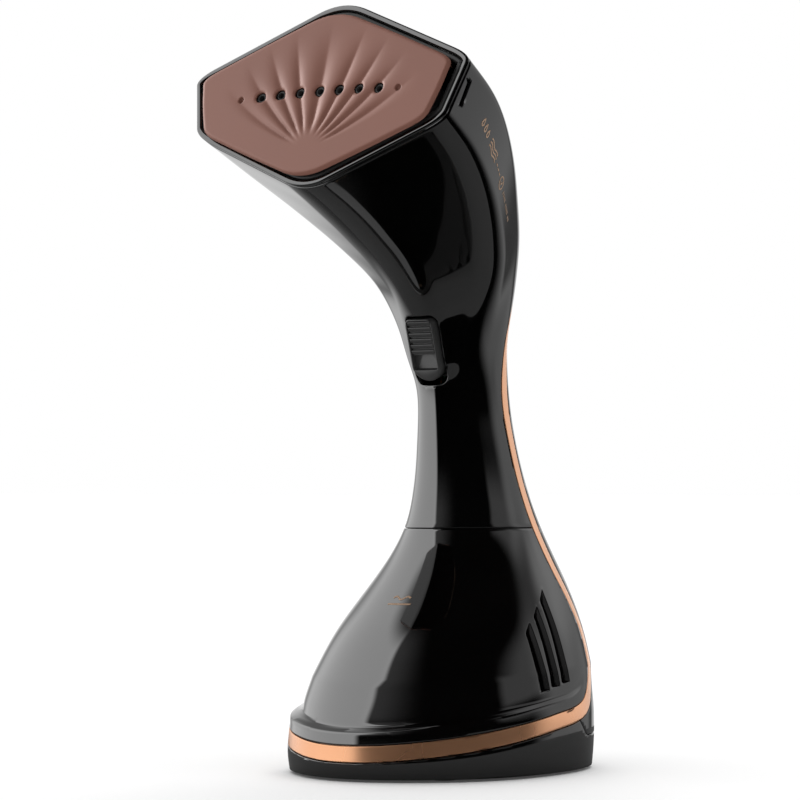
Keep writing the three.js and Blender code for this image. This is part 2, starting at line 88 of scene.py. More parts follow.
stations = np.array([
    oval(3.9, 0, 0, 49.5, 64.2, 63),
    oval(3.9, 9, 3, 50.5, 65, 63.6),
    oval(4.2, 20, 8, 50.5, 65.2, 63.6),
    oval(4.5, 26, 8, 50.2, 64.8, 63.2),
    oval(4.6, 29.5, 7.4, 50.1, 64.7, 63.1),
    oval(7.8, 38, 3, 48.2, 62.6, 61.2),
    oval(12.8, 52, 0, 43, 56.3, 55.5),
    oval(18.2, 68, 0, 34.9, 46.6, 46.1),
    oval(20.9, 80, 0, 28.4, 38.3, 38),
    oval(21.6, 91.6, 0, 23.3, 31.4, 31.3),
    oval(19.8, 105, 0, 19.7, 26.7, 27),
    oval(16.9, 125, 0, 16.6, 23.2, 23.2),
    section(14.2, 145, 0, 24.6, [13.9, 14.2], [15.8, 12], 25.4, 1, 0.95),
    section(10.2, 160.5, 14, 25, [15.8, 15], [17.6, 13], 25.5, 1, 0.85),
    section(8.2, 175.5, 25, 28, [21.5, 12.5], [19.5, 19], 33, 0.9, 0.75),
    section(1.5, 190.5, 32, 29, [29.5, 8.5], [25, 21], 37, 0.7, 0.6),
    section(-10, 204.7, 40, 31, [37, 9.5], [33.5, 19], 37.5, 0.6, 0.5),
    section(-28.3, 220.2, 50, 33.3, [45, 10.5], [45.5, 16.5], 38.5, 0.5, 0.4),
    section(-53.5, 236.3, 60, 35.5, [52.4, 11.3], [57, 14.5], 39.5, 0.42, 0.32),
    section(-77.5, 248.8, 70.3, 37, [55.5, 11.8], [62, 12.5], 40, 0.35, 0.27),
])
skirt = {  # how far the foot of the tank and the base stand out beyond the tank's own surface
    "change": np.array(oval(-3.9, 0, 0, 2.3, 2.4, 4, 0, 0)),
    "ledge": (6.5, 8.6),  # distance above the trim line where the step lies
    "fade": (20, 38),  # height over which the step melts into the side
}


def smoothStep(low, high, at):
    part = np.clip((at - low) / (high - low), 0, 1)
    return part * part * (3 - 2 * part)


def hermite(knots, values, at):
    step = np.diff(knots)
    slope = np.diff(values, axis=0) / step[:, None]
    tangent = np.vstack([slope[:1], slope[:-1] * 0, slope[-1:]])
    before, after = step[:-1, None], step[1:, None]
    tangent[1:-1] = (slope[:-1] * after + slope[1:] * before) / (before + after)
    i = np.clip(np.searchsorted(knots, at, "right") - 1, 0, len(knots) - 2)
    h = step[i][:, None]
    t = ((at - knots[i]) / step[i])[:, None]
    return (
        (2 * t**3 - 3 * t**2 + 1) * values[i] + (t**3 - 2 * t**2 + t) * h * tangent[i]
        + (3 * t**2 - 2 * t**3) * values[i + 1] + (t**3 - t**2) * h * tangent[i + 1]
    )


def fair(table, passes):
    for _ in range(passes):
        table[1:-1] = (table[:-2] + 2 * table[1:-1] + table[2:]) / 4
    return table


def sectionRows():
    knots = np.concatenate([[0], np.cumsum(np.hypot(np.diff(stations[:, 0]), np.diff(stations[:, 1])))])
    crease = body["creaseStation"]
    low, high = stations[: crease + 1], stations[crease:]
    lowAt = np.linspace(0, knots[crease], int(knots[crease] / body["fineRowStep"]) + 1)
    highAt = np.linspace(knots[crease], knots[-1], int((knots[-1] - knots[crease]) / body["rowStep"]) + 1)
    foot = fair(hermite(knots[: crease + 1], low, lowAt), 12)
    rise = fair(hermite(knots[crease:], high, highAt), 16)
    return np.vstack([foot, rise[1:]])


rowTable = sectionRows()
rowCount = len(rowTable) - 1
columns = 6 * body["columnsPerCorner"]


def outline(turn, values):  # turn runs 0..1 round the section, from the front point over +X
    front, lowX, lowD, highX, highD, back, nose, ridge = values.T
    zero = front * 0
    xs = np.stack([zero, lowX, highX, zero, -highX, -lowX])
    ys = np.stack([-front, -lowD, highD, back, highD, -lowD])
    rounds = np.stack([nose, ridge, ridge, nose, ridge, ridge])
    place = turn * 6
    corner = np.floor(place + 0.5).astype(int)
    t = place - corner
    one = np.arange(len(turn))
    at, before, after = corner % 6, (corner - 1) % 6, (corner + 1) % 6
    reach = rounds[at, one] / 2
    inArc = np.abs(t) < reach
    share = np.where(inArc, (t + reach) / (2 * reach + 1e-9), 0)
    toBefore = np.where(inArc, reach * (1 - share) ** 2, np.maximum(-t, 0))
    toAfter = np.where(inArc, reach * share**2, np.maximum(t, 0))
    return [
        c[at, one] + toBefore * (c[before, one] - c[at, one]) + toAfter * (c[after, one] - c[at, one])
        for c in (xs, ys)
    ]


def onSection(turn, values):
    x, along = outline(turn, values[:, 3:])
    tilt = np.radians(values[:, 2])
    return np.stack([x, values[:, 0] + along * np.cos(tilt), values[:, 1] + along * np.sin(tilt)], -1)


# The copper trim's middle line, seen from the side.
trimKnots = np.array([
    [-90, 6.8], [-67, 10], [-36, 15], [-4, 19.7], [13, 21.9], [24, 25], [32, 31.5], [37.5, 40], [39, 52],
    [36.5, 65], [34, 75], [31.2, 91.6], [26.3, 115], [22, 140], [22, 160], [26, 175], [34, 187], [48, 201],
], float)


def catmull(points, at):
    i = np.clip(at.astype(int), 0, len(points) - 2)
    t = (at - i)[:, None]
    a, b, c, d = (points[np.clip(i + k, 0, len(points) - 1)] for k in (-1, 0, 1, 2))
    return b + 0.5 * t * (c - a + t * (2 * a - 5 * b + 4 * c - d + t * (3 * (b - c) + d - a)))


trimLine = catmull(trimKnots, np.linspace(0, len(trimKnots) - 1, 240))


def lineDistance(line, points):  # signed: positive on the left of the line
    start, along = line[:-1], np.diff(line, axis=0)
    length = np.maximum((along**2).sum(1), 1e-12)
    best = np.full(len(points), 1e9)
    signed = np.zeros(len(points))
    for a, d, n in zip(start, along, length):
        off = points - a
        t = np.clip((off @ d) / n, 0, 1)
        gapTo = np.hypot(off[:, 0] - t * d[0], off[:, 1] - t * d[1])
        side = np.where(d[0] * off[:, 1] - d[1] * off[:, 0] >= 0, 1, -1)
        closer = gapTo < best
        best = np.where(closer, gapTo, best)
        signed = np.where(closer, gapTo * side, signed)
    return signed


def fromTrim(points):
    return lineDistance(trimLine, points[:, 1:])


def shellPoint(cells, seam):
    turn = cells[:, 0] / columns + seam
    row = np.clip(cells[:, 1], 0, rowCount)
    low = np.minimum(row.astype(int), rowCount - 1)
    part = (row - low)[:, None]
    values = rowTable[low] * (1 - part) + rowTable[low + 1] * part
    inner = onSection(turn, values)
    near = inner[:, 2] < skirt["fade"][1] + 16
    if near.any():
        outer = onSection(turn[near], values[near] + skirt["change"])
        inside = inner[near]
        weight = 1 - smoothStep(*skirt["ledge"], fromTrim(inside))
        weight = weight * (1 - smoothStep(*skirt["fade"], inside[:, 2]))
        inner[near] = inside + (outer - inside) * weight[:, None]
    return inner * body["trueUp"]


# Mesh helpers.
def readVerts(bm):
    return np.array([v.co for v in bm.verts], float).reshape(-1, 3)


def writeVerts(bm, points):
    for vert, point in zip(bm.verts, points.tolist()):
        vert.co = point


def toRow(points):  # millimetres from the base axis to metres in the row frame
    return (points + [0, body["axisY"], 0]) * mm


def flatGrid(wide, tall):
    bm = bmesh.new()
    place = Matrix.Translation((wide / 2, tall / 2, 0)) @ Matrix.Diagonal((wide / 2, tall / 2, 1, 1))
    bmesh.ops.create_grid(bm, x_segments=wide, y_segments=tall, size=1, matrix=place)
    return bm


def cutFlat(bm, place, level, clear=True, within=None):
    # Vertices almost on the line slide onto it, the rest of it is cut, and the side below zero goes.
    bm.verts.index_update()
    cells = readVerts(bm)[:, :2]
    points = place(cells)
    geometry = bm.verts[:] + bm.edges[:] + bm.faces[:]
    chosen = np.arange(len(cells))
    if within is not None:
        inside = within(points)
        chosen = np.nonzero(inside)[0]
        faces = [f for f in bm.faces if all(inside[v.index] for v in f.verts)]
        geometry = list({item for f in faces for item in (f, *f.edges, *f.verts)})
    height = np.zeros(len(cells))
    height[chosen] = level(points[chosen])
    step = 0.02
    slope = np.stack([
        (level(place(cells[chosen] + d)) - height[chosen]) / step for d in ([step, 0], [0, step])
    ], -1)
    slide = -height[chosen, None] * slope / np.maximum((slope**2).sum(1), 1e-12)[:, None]
    near = np.hypot(*slide.T) < (0.3 if within is None else 0.12)
    cells[chosen[near]] += slide[near]
    height[chosen[near]] = 0
    writeVerts(bm, np.column_stack([cells, height]))
    bmesh.ops.bisect_plane(
        bm, geom=geometry, dist=1e-6, plane_co=(0, 0, 0), plane_no=(0, 0, 1), clear_inner=clear
    )


def dropFaces(bm, place, inside):
    middles = np.array([f.calc_center_median()[:2] for f in bm.faces])
    gone = inside(place(middles))
    bmesh.ops.delete(bm, geom=[f for f, out in zip(bm.faces, gone) if out], context="FACES")


def finishMesh(name, bm, material, merge=0.004, recalc=True):
    bmesh.ops.remove_doubles(bm, verts=bm.verts, dist=merge * mm)
    if recalc:
        bmesh.ops.recalc_face_normals(bm, faces=bm.faces)
    for face in bm.faces:
        face.smooth = True
    mesh = bpy.data.meshes.new(name)
    bm.to_mesh(mesh)
    bm.free()
    piece = bpy.data.objects.new(name, mesh)
    scene.collection.objects.link(piece)
    mesh.materials.append(material)
    return piece


def giveWall(piece, thickness, edge=body["edgeRound"], segments=3):
    wall = piece.modifiers.new("wall", "SOLIDIFY")
    wall.thickness = thickness * mm
    wall.offset = -1
    wall.use_even_offset = False
    soften = piece.modifiers.new("edges", "BEVEL")
    soften.width = edge * mm
    soften.segments = segments
    soften.limit_method = "ANGLE"
    soften.angle_limit = math.radians(50)
    soften.use_clamp_overlap = False


def wrap(rings, name, material):
    # A skin over rings of equal length, one row of the grid for each.
    rings = np.array(rings, float)
    count = rings.shape[1]
    bm = flatGrid(count, len(rings) - 1)
    cells = np.rint(readVerts(bm)[:, :2]).astype(int)
    writeVerts(bm, toRow(rings[cells[:, 1], cells[:, 0] % count]))
    return finishMesh(name, bm, material)


# Materials.
class Wire:
    def __init__(self, finish, socket):
        self.finish = finish
        self.socket = socket

    def maths(self, operation, other):
        return self.finish.node("ShaderNodeMath", {"operation": operation}, {0: self, 1: other})

    def __add__(self, other):
        return self.maths("ADD", other)

    def __mul__(self, other):
        return self.maths("MULTIPLY", other)


class Finish:
    def __init__(self, owner):
        owner.use_nodes = True
        self.tree = owner.node_tree
        self.tree.nodes.clear()

    def node(self, kind, settings=None, inputs=None, output=0):
        made = self.tree.nodes.new(kind)
        for key, value in (settings or {}).items():
            if key == "stops":
                for i, (position, colour) in enumerate(value):
                    stops = made.color_ramp.elements
                    stop = stops[i] if i < 2 else stops.new(position)
                    stop.position = position
                    stop.color = (*colour, 1) if isinstance(colour, tuple) else (colour, colour, colour, 1)
            else:
                setattr(made, key, value)
        for key, value in (inputs or {}).items():
            if isinstance(value, Wire):
                self.tree.links.new(value.socket, made.inputs[key])
            else:
                made.inputs[key].default_value = value
        return Wire(self, made.outputs[output]) if made.outputs else None

    def mix(self, factor, first, second):
        settings = {"data_type": "RGBA"}
        return self.node("ShaderNodeMix", settings, {0: factor, 6: first, 7: second}, 2)

    def noise(self, scale, detail=3, roughness=0.5, stretch=(1, 1, 1)):
        where = self.node("ShaderNodeTexCoord", output="Object")
        where = self.node("ShaderNodeMapping", None, {"Vector": where, "Scale": stretch})
        inputs = {"Vector": where, "Scale": scale, "Detail": detail, "Roughness": roughness}
        return self.node("ShaderNodeTexNoise", None, inputs)

    def spread(self, wire, low, high, fromLow=0.3, fromHigh=0.7):
        inputs = {0: wire, 1: fromLow, 2: fromHigh, 3: low, 4: high}
        return self.node("ShaderNodeMapRange", None, inputs)

    def bump(self, height, strength, distance):
        inputs = {"Height": height, "Strength": strength, "Distance": distance * mm}
        return self.node("ShaderNodeBump", None, inputs)


def tone(red, green, blue):
    return (red, green, blue, 1)


def grey(value):
    return (value, value, value, 1)


def surface(name, colours, roughness, grain, bump=(0, 0.01), wear=None, **sockets):
    # colours: two close shades mixed by a soft cloud. grain: (scale, detail). bump: (strength, distance).
    material = bpy.data.materials.new(name)
    finish = Finish(material)
    cloud = finish.noise(38, 3)
    fine = finish.noise(*grain)
    colour = finish.mix(finish.spread(cloud, 0, 1), *colours)
    rough = finish.spread(cloud, *roughness)
    if wear:
        scratches = finish.noise(210, 6, 0.7, wear["stretch"])
        marks = finish.spread(scratches, 0, 1, 0.62, 0.75)
        colour = finish.mix(marks * wear["amount"], colour, wear["colour"])
        rough = rough + marks * wear["rough"]
    inputs = {"Base Color": colour, "Roughness": rough, **sockets}
    if bump[0]:
        inputs["Normal"] = finish.bump(fine, *bump)
    shader = finish.node("ShaderNodeBsdfPrincipled", None, inputs)
    finish.node("ShaderNodeOutputMaterial", None, {"Surface": shader})
    return material


looks = {
    "gloss_shell": surface(
        "pianoBlack", (grey(0.0004), grey(0.0007)), (0.035, 0.06), (420, 2), (0.02, 0.02),
        {"stretch": (1, 1, 6), "amount": 0.03, "colour": grey(0.03), "rough": 0.02}, IOR=2.4,
    ),
    "tank_smoke": surface(
        "smokedPolycarbonate", (tone(0.0006, 0.0005, 0.0005), tone(0.001, 0.0008, 0.0008)), (0.03, 0.05),
        (300, 2), (0.015, 0.02), IOR=2.4,
    ),
    "copper_trim": surface(
        "satinCopper", (tone(0.80, 0.40, 0.215), tone(0.86, 0.445, 0.25)), (0.24, 0.3), (900, 3),
        (0.05, 0.02), Metallic=0.86,
    ),
    "copper_ink": surface(
        "copperInk", (tone(0.33, 0.215, 0.14), tone(0.37, 0.24, 0.16)), (0.4, 0.5), (900, 3),
    ),
    "soleplate_rose": surface(
        "roseCoating", (tone(0.168, 0.071, 0.051), tone(0.184, 0.079, 0.057)), (0.5, 0.58), (2600, 4),
        (0.22, 0.05),
        Metallic=0.15, IOR=1.35,
    ),
    "dark_plastic": surface(
        "mouldedBlack", (grey(0.011), grey(0.016)), (0.36, 0.48), (1500, 3), (0.12, 0.03),
    ),
    "key_plastic": surface(
        "keyPlastic", (grey(0.022), grey(0.03)), (0.3, 0.4), (1500, 3), (0.1, 0.03), IOR=1.7,
    ),
    "black_rubber": surface("rubber", (grey(0.011), grey(0.018)), (0.7, 0.85), (1200, 4), (0.3, 0.05)),
    "steel": surface(
        "steel", (grey(0.42), grey(0.5)), (0.25, 0.38), (700, 5), (0.08, 0.02), Metallic=1.0,
    ),
    "cast_aluminium": surface(
        "castAluminium", (grey(0.42), grey(0.5)), (0.5, 0.65), (900, 6), (0.5, 0.1), Metallic=1.0,
    ),
    "sheet_aluminium": surface(
        "sheetAluminium", (grey(0.55), grey(0.62)), (0.3, 0.4), (600, 4), (0.1, 0.03), Metallic=1.0,
    ),
    "silicone": surface(
        "silicone", (tone(0.62, 0.6, 0.55), tone(0.68, 0.66, 0.6)), (0.4, 0.5), (500, 2), (0.1, 0.05),
    ),
    "nylon": surface(
        "nylon", (tone(0.72, 0.68, 0.6), tone(0.78, 0.74, 0.66)), (0.35, 0.5), (800, 3), (0.12, 0.04),
    ),
    "winding": surface(
        "enamelWire", (tone(0.36, 0.08, 0.02), tone(0.5, 0.14, 0.05)), (0.25, 0.4), (900, 4), (0.3, 0.1),
        Metallic=0.8,
    ),
    "board": surface(
        "boardGreen", (tone(0.012, 0.09, 0.03), tone(0.02, 0.12, 0.045)), (0.35, 0.5), (900, 4), (0.15, 0.04),
    ),
}
print("materials made")


def dress(piece, slotName, bodyName, *nodes):
    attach(piece, bodyName)
    if nodes:
        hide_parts(*nodes)
    return piece


# Frames and outlines of the fitted parts.
head = {"y": -77.5, "z": 248.8, "tilt": 70.3, "rimDepth": 2.5}  # its +Z is the plate's outward normal
trigger = {
    "y": -12.4, "z": 159, "tilt": 107.4,
    "slot": (14.4, 27.2, 3.2, -0.3),  # wide, tall, corner, shift
    "cap": (12.8, 24.6), "capCorners": (2.4, 6.2), "top": 1.0, "foot": -6,
    "window": (10.8, 19.4), "windowShift": 2.1, "windowCorner": 0.8, "pocketFloor": -1.8,
}


def inTilted(points, settings):  # a point's place in a frame tilted about the side-to-side axis
    tilt = math.radians(settings["tilt"])
    y, z = points[:, 1] - settings["y"], points[:, 2] - settings["z"]
    return np.stack([
        points[:, 0], y * math.cos(tilt) + z * math.sin(tilt), z * math.cos(tilt) - y * math.sin(tilt)
    ], -1)


def fromTilted(points, settings):
    tilt = math.radians(settings["tilt"])
    y, z = points[..., 1], points[..., 2]
    return np.stack([
        points[..., 0],
        settings["y"] + y * math.cos(tilt) - z * math.sin(tilt),
        settings["z"] + y * math.sin(tilt) + z * math.cos(tilt),
    ], -1)


def roundedBox(x, y, wide, tall, corner):
    dx, dy = np.abs(x) - wide / 2 + corner, np.abs(y) - tall / 2 + corner
    outside = np.hypot(np.maximum(dx, 0), np.maximum(dy, 0))
    return outside + np.minimum(np.maximum(dx, dy), 0) - corner


def triggerSlot(points):
    local = inTilted(points, trigger)
    wide, tall, corner, shift = trigger["slot"]
    edge = roundedBox(local[:, 0], local[:, 1] - shift, wide, tall, corner)
    return np.where(local[:, 2] > -14, edge, 50)


clip = {"y": -71.1, "z": 247, "lean": 14.5, "wide": 1.8, "tall": 9.6}  # slots in the sides of the head


def clipFrame(points):
    lean = math.radians(clip["lean"])
    y, z = points[:, 1] - clip["y"], points[:, 2] - clip["z"]
    return y * math.cos(lean) - z * math.sin(lean), y * math.sin(lean) + z * math.cos(lean)


def nearClip(points, room=4):
    across, up = clipFrame(points)
    near = (np.abs(across) < clip["wide"] / 2 + room) & (np.abs(up) < clip["tall"] / 2 + room)
    return near & (np.abs(points[:, 0]) > 40)


grooves = {
    "top": (16.4, 68.3), "foot": (13.1, 34.2),  # rear edge of the last groove, seen from the side
    "topStep": (-8.3, -5.8), "footStep": (-7.3, -1.2),  # from each groove to the next one forward
    "wide": (5.9, 4.2),  # at the foot and the top
    "slant": (1.0, 3.9),
    "depth": (2.1, 0.3),  # at the rear edge and the front edge
    "wallRun": 0.4,
    "lines": (-0.4, 0, 0.4, 0.8),  # distances from the sides that get an edge of their own
}


def grooveSides(points, k):  # distances inside the rear, front, upper and lower sides of one groove
    y, z = points[:, 1], points[:, 2]
    top, foot = (np.array(grooves[end]) + k * np.array(grooves[end + "Step"]) for end in ("top", "foot"))
    rise = (z - foot[1]) / (top[1] - foot[1])
    rear = foot[0] + (top[0] - foot[0]) * rise
    wide = grooves["wide"][0] + (grooves["wide"][1] - grooves["wide"][0]) * np.clip(rise, 0, 1)
    part = np.clip((rear - y) / wide, 0, 1)
    low, high = grooves["slant"]
    return [rear - y, y - rear + wide, top[1] - high * part - z, z - foot[1] + low * part], part


def sinkGrooves(points):
    sunk = np.zeros(len(points))
    deep, shallow = grooves["depth"]
    for k in range(3):
        sides, part = grooveSides(points, k)
        reach = np.clip(np.minimum.reduce(sides) / grooves["wallRun"], 0, 1)
        sunk += (deep + (shallow - deep) * part) * reach
    return points - np.stack([np.sign(points[:, 0]) * sunk, sunk * 0, sunk * 0], -1)


# Outer skin.
trimHalf = body["trimWidth"] / 2
besideTrim = trimHalf + body["gap"]
seamStart = np.array([[8, 26.66], [23.3, body["seamZ"]]])  # the seam slants away from the trim
gland = {"y": 66.2, "z": 37, "hole": 6.3}
coverScrews = {"spots": ((62.4, 62), (37.2, 128)), "hole": 3.3}


def coverSide(points):  # positive on the rear cover, negative on the base shell
    slanted = lineDistance(seamStart, points[:, 1:])
    return np.minimum(points[:, 2] - body["seamZ"], np.where(points[:, 2] < 26, slanted, 1e3))


def roundHole(points, z, radius):  # through the back of the body
    edge = np.hypot(points[:, 0], points[:, 2] - z) - radius
    return np.where(points[:, 1] > 20, edge, 50)


def skin(name, material, levels, seam, lines=(), drop=None, sink=None):
    bm = flatGrid(columns, rowCount)

    def place(cells):
        return shellPoint(cells, seam)

    for level in levels:
        cutFlat(bm, place, level)
    for level, within in lines:
        cutFlat(bm, place, level, False, within)
    if drop:
        dropFaces(bm, place, drop)
    points = place(readVerts(bm)[:, :2])
    writeVerts(bm, toRow(sink(points) if sink else points))
    return finishMesh(name, bm, material, 0.1)


def trimBand():
    levels = [lambda p: fromTrim(p) + trimHalf, lambda p: trimHalf - fromTrim(p)]
    piece = skin("trimBand", looks["copper_trim"], levels, 0.5)
    giveWall(piece, body["wall"], 0.3, 2)
    return dress(piece, "copper_trim", "housing", "trim_band")


def frontHousing():
    levels = [
        lambda p: fromTrim(p) - besideTrim,
        lambda p: p[:, 2] - body["partingZ"] - body["gap"] / 2,
        lambda p: -head["rimDepth"] - inTilted(p, head)[:, 2],
        triggerSlot,
    ]
    halves = (clip["wide"] / 2, clip["tall"] / 2)
    lines = [
        (lambda p, axis=axis, side=side: clipFrame(p)[axis] + side * halves[axis], nearClip)
        for axis in (0, 1) for side in (-1, 1)
    ]
    piece = skin("frontHousing", looks["gloss_shell"], levels, 0.5, lines, lambda p: nearClip(p, 0))
    giveWall(piece, body["wall"])
    return dress(piece, "gloss_shell", "housing", "front_housing")


def headRim():
    levels = [lambda p: inTilted(p, head)[:, 2] + head["rimDepth"] - 0.08]
    piece = skin("headRim", looks["gloss_shell"], levels, 0.5)
    giveWall(piece, body["wall"], 0.95, 5)
    return dress(piece, "gloss_shell", "housing", "front_housing")


def tankShell():
    levels = [
        lambda p: fromTrim(p) - besideTrim,
        lambda p: body["partingZ"] - body["gap"] / 2 - p[:, 2],
    ]
    lines = [
        (
            lambda p, k=k, side=side, inset=inset: grooveSides(p, k)[0][side] - inset,
            lambda p, k=k: np.minimum.reduce(grooveSides(p, k)[0]) > -2.4,
        )
        for k in range(3) for side in range(4) for inset in grooves["lines"]
    ]
    piece = skin("tankShell", looks["tank_smoke"], levels, 0.5, lines=lines, sink=sinkGrooves)
    giveWall(piece, body["wall"], 0.2, 2)
    return dress(piece, "tank_smoke", "tank", "tank_shell")


def rearCover():
    levels = [lambda p: -fromTrim(p) - besideTrim, lambda p: coverSide(p) - body["gap"] / 2]
    holes = [lambda p: roundHole(p, gland["z"], gland["hole"])]
    holes += [lambda p, z=z: roundHole(p, z, coverScrews["hole"]) for _, z in coverScrews["spots"]]
    piece = skin("rearCover", looks["gloss_shell"], levels + holes, 0)
    giveWall(piece, body["wall"])
    return dress(piece, "gloss_shell", "housing", "rear_cover")


def baseShell():
    levels = [
        lambda p: -fromTrim(p) - besideTrim,
        lambda p: -coverSide(p) - body["gap"] / 2,
        lambda p: p[:, 2] - body["liftZ"],
    ]
    piece = skin("baseShell", looks["gloss_shell"], levels, 0)
    giveWall(piece, body["wall"])
    return dress(piece, "gloss_shell", "housing", "base_shell")


housing = frontHousing()
headRim()
tank = tankShell()
trim = trimBand()
rearCover()
baseShell()
print("outer skin made")


# Head: bezel, soleplate and nozzles.
plate = {
    # front, low x and y, high x and y, back, then the roundings of points and sides
    "outline": [34, 49.6, 13, 56.2, 10.4, 34.8, 0.38, 0.24],
    "face": 3.1, "thick": 2.5, "round": 1.3, "cell": 0.5,
    "holes": 9, "pitch": 8.8, "hole": 2.05, "dimple": 1.3, "dimpleDepth": 1.1,
    "arc": (1.4, 1.34),  # height of the middle hole, drop of the end ones
    "fanFoot": -22, "fanSpread": 62, "fanDepth": 0.85,
}


def holeSpots():
    middle = (plate["holes"] - 1) / 2
    for i in range(plate["holes"]):
        place = (i - middle) / middle
        yield i, place * middle * plate["pitch"], plate["arc"][0] - plate["arc"][1] * place**2


def ringOutline(values, inset, count=columns):
    turn = np.arange(count) / count
    flat = np.stack(outline(turn, np.repeat([values], count, 0)), -1)
    along = np.roll(flat, -1, 0) - np.roll(flat, 1, 0)
    along /= np.linalg.norm(along, axis=1)[:, None]
    return flat + np.stack([-along[:, 1], along[:, 0]], -1) * inset


def bulged(flat):  # the plate's edges bow out a little between their corners
    turn = np.arange(len(flat)) / len(flat) * 6
    bow = np.sin(np.pi * (turn % 1)) ** 2
    return flat * (1 + 0.008 * bow)[:, None]


plateEdge = bulged(ringOutline(plate["outline"], 0))
plateLoop = np.vstack([plateEdge, plateEdge[:1]])


def fan(x, y):
    # Crisp valleys spread like a fan from below the holes, one through each hole, with full petals between.
    up = y - plate["fanFoot"]
    reach = np.hypot(x, up)
    angle = np.degrees(np.arctan2(np.abs(x), up)) * (1 + 0.006 * (reach - 27) * np.cos(np.arctan2(x, up)))
    petal = 4 * (np.maximum(angle, 0) / plate["fanSpread"]) ** 1.25
    valley = 1 - 2 * np.abs(petal - np.round(petal))
    deep = valley ** 2.2 * (petal < 4.5)
    fade = smoothStep(5, 14, reach) * (1 - smoothStep(26, 52, reach))
    side = 1 - 0.35 * smoothStep(3, 4.5, petal)
    return -plate["fanDepth"] * deep * fade * side


def soleplate():
    wide, tall = (int(size / plate["cell"]) for size in (116, 72))
    bm = flatGrid(wide, tall)

    def place(cells):
        return (cells - [wide / 2, tall / 2]) * plate["cell"]

    cutFlat(bm, place, lambda p: lineDistance(plateLoop, p))
    for i, x, y in holeSpots():
        small = i in (0, plate["holes"] - 1)
        radius = plate["dimple"] if small else plate["hole"]
        cutFlat(bm, place, lambda p: np.hypot(p[:, 0] - x, p[:, 1] - y) - radius, not small)
        if small:
            cutFlat(bm, place, lambda p: np.hypot(p[:, 0] - x, p[:, 1] - y) - radius + 0.3, False)
    flat = place(readVerts(bm)[:, :2])
    edge = np.clip(lineDistance(plateLoop, flat), 0, plate["round"])
    drop = plate["round"] - np.sqrt(plate["round"] ** 2 - (plate["round"] - edge) ** 2)
    height = plate["face"] - drop + fan(*flat.T)
    for i, x, y in holeSpots():
        off = np.hypot(flat[:, 0] - x, flat[:, 1] - y)
        if i in (0, plate["holes"] - 1):
            height -= plate["dimpleDepth"] * (1 - np.clip((off - plate["dimple"] + 0.3) / 0.3, 0, 1))
        else:
            height -= 0.25 * (1 - smoothStep(plate["hole"], plate["hole"] + 0.7, off))
    writeVerts(bm, toRow(fromTilted(np.column_stack([flat, height]), head)))
    piece = finishMesh("soleplate", bm, looks["soleplate_rose"])
    giveWall(piece, plate["thick"], 0.2, 2)
    return dress(piece, "soleplate_rose", "housing", "soleplate")


def turnedRings(profile, count=32):  # rings about a local Z axis from (radius, height) pairs
    angle = np.arange(count) / count * 2 * math.pi
    return np.array([[[r * math.cos(a), r * math.sin(a), h] for a in angle] for r, h in profile])


def nozzles():
    profile = [(0, -2.6), (1.95, -2.6), (1.95, 1.5), (1.8, 1.9), (1.5, 2.0), (1.15, 1.85), (0.85, 1.3)]
    profile += [(0.8, -1.8), (0, -1.9)]
    for i, x, y in holeSpots():
        if i in (0, plate["holes"] - 1):
            continue
        rings = fromTilted(turnedRings(profile) + [x, y, 0], head)
        piece = wrap(rings, f"steamNozzle{i}", looks["dark_plastic"])
        dress(piece, "dark_plastic", "housing", f"steam_nozzle_{i}")


def headBezel():
    rim = rowTable[-1, 3:]
    outer, inner, top, low, bend = 2.6, 5.0, -0.5, -4.4, 0.9
    steps = np.linspace(0, math.pi / 2, 5)
    profile = [(outer, low)]
    profile += [(outer + bend * (1 - math.cos(a)), top - bend * (1 - math.sin(a))) for a in steps]
    profile += [(inner - bend * (1 - math.sin(a)), top - bend * (1 - math.cos(a))) for a in steps]
    profile += [(inner, low), (outer, low)]
    rings = [np.column_stack([ringOutline(rim, inset), np.full(columns, z)]) for inset, z in profile]
    piece = wrap(fromTilted(np.array(rings), head), "headBezel", looks["dark_plastic"])
    return dress(piece, "dark_plastic", "housing", "head_bezel")


headBezel()
steamPlate = soleplate()
nozzles()
print("head made")


# Trigger and lock slider.
def rayLoop(distance, centre, count=96):  # the outline where a distance is zero, found along rays
    angle = np.arange(count) / count * 2 * math.pi
    aim = np.stack([np.cos(angle), np.sin(angle)], -1)
    low, high = np.zeros(count), np.full(count, 40.0)
    for _ in range(30):
        middle = (low + high) / 2
        at = centre + aim * middle[:, None]
        inside = distance(at[:, 0], at[:, 1]) < 0
        low, high = np.where(inside, middle, low), np.where(inside, high, middle)
    return centre + aim * low[:, None]


